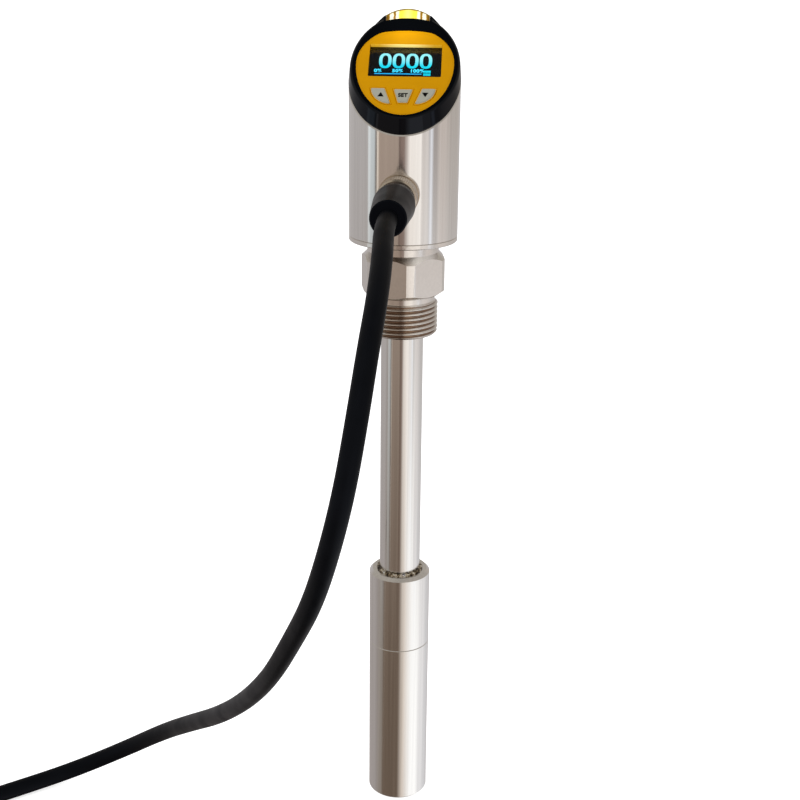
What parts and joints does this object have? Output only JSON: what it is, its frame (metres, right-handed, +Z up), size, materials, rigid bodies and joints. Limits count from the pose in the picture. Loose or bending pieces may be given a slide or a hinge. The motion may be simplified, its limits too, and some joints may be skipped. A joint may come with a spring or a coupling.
{
  "type": "tank level sensor",
  "caption": "Hydrostatic tank level sensor: slanted display head with push keys, steel body, screw-in fitting, stem and probe, and a round plug with a long cable.",
  "frame": {"origin": "on the sensor's axis, in the plane of the sealing face under the hexagon", "axes": "+Z up the axis towards the display head; the display and the connector face -Y"},
  "size_m": [0.2976, 0.2221, 0.3158],
  "materials": {
    "steel": "turned stainless steel with a fine satin finish",
    "weld": "heat-tinted rippled weld",
    "cell_steel": "thin corrugated stainless steel",
    "cap_black": "gloss black moulding",
    "panel_yellow": "yellow film-faced plate",
    "lens_clear": "clear acrylic lens",
    "display_black": "black display glass",
    "key_grey": "satin warm grey key",
    "light_yellow": "clear yellow moulded light window",
    "led_white": "small white lamp body",
    "board_green": "green circuit board",
    "inner_black": "black glass-filled plastic",
    "nickel": "nickel-plated brass",
    "gold_pin": "gold-plated contact",
    "boot_black": "satin black overmoulding",
    "cable_black": "matt black cable jacket",
    "tie_black": "black band",
    "wire_brown": "insulated cores, shown in one colour",
    "seal_black": "black O-ring"
  },
  "bodies": {
    "sensor": {"process_fitting": "steel", "housing_tube": "steel", "base_seal": "seal_black", "stem_tube": "steel", "weld_bead": "weld", "probe_coupling": "steel", "joint_seal": "seal_black", "probe_shell": "steel", "pressure_cell": "cell_steel", "cell_seal": "seal_black", "nose_ring": "steel", "cell_board": "board_green", "signal_lead": "cable_black", "head_cap": "cap_black", "cap_seal": "seal_black", "front_panel": "panel_yellow", "display_window": "lens_clear", "display_module": "display_black", "display_board": "board_green", "board_screws": "steel", "key_switches": "inner_black", "status_lens": "light_yellow", "status_leds": "led_white", "board_carrier": "inner_black", "main_board": "board_green", "connector_body": "nickel", "connector_lock_nut": "nickel", "connector_insert": "inner_black", "connector_pins": "gold_pin", "plug_insert": "inner_black", "plug_boot": "boot_black", "cable": "cable_black", "cable_coil": "cable_black", "coil_tie": "tie_black", "lead_wires": "wire_brown"},
    "up_key": {"up_key": "key_grey"},
    "set_key": {"set_key": "key_grey"},
    "down_key": {"down_key": "key_grey"},
    "coupling_nut": {"coupling_nut": "nickel"}
  },
  "joints": [
    {"name": "up_key_press", "type": "slide", "parent": "sensor", "child": "up_key", "axis": [0, 0.6428, -0.766], "range_m": [0, 0.0005], "stiffness_N_per_m": 4000},
    {"name": "set_key_press", "type": "slide", "parent": "sensor", "child": "set_key", "axis": [0, 0.6428, -0.766], "range_m": [0, 0.0005], "stiffness_N_per_m": 4000},
    {"name": "down_key_press", "type": "slide", "parent": "sensor", "child": "down_key", "axis": [0, 0.6428, -0.766], "range_m": [0, 0.0005], "stiffness_N_per_m": 4000},
    {"name": "coupling_nut_turn", "type": "hinge", "parent": "sensor", "child": "coupling_nut", "pos_m": [-0.00082, -0.02699, 0.04], "axis": [-0.0305, -0.9995, 0], "continuous": true}
  ]
}
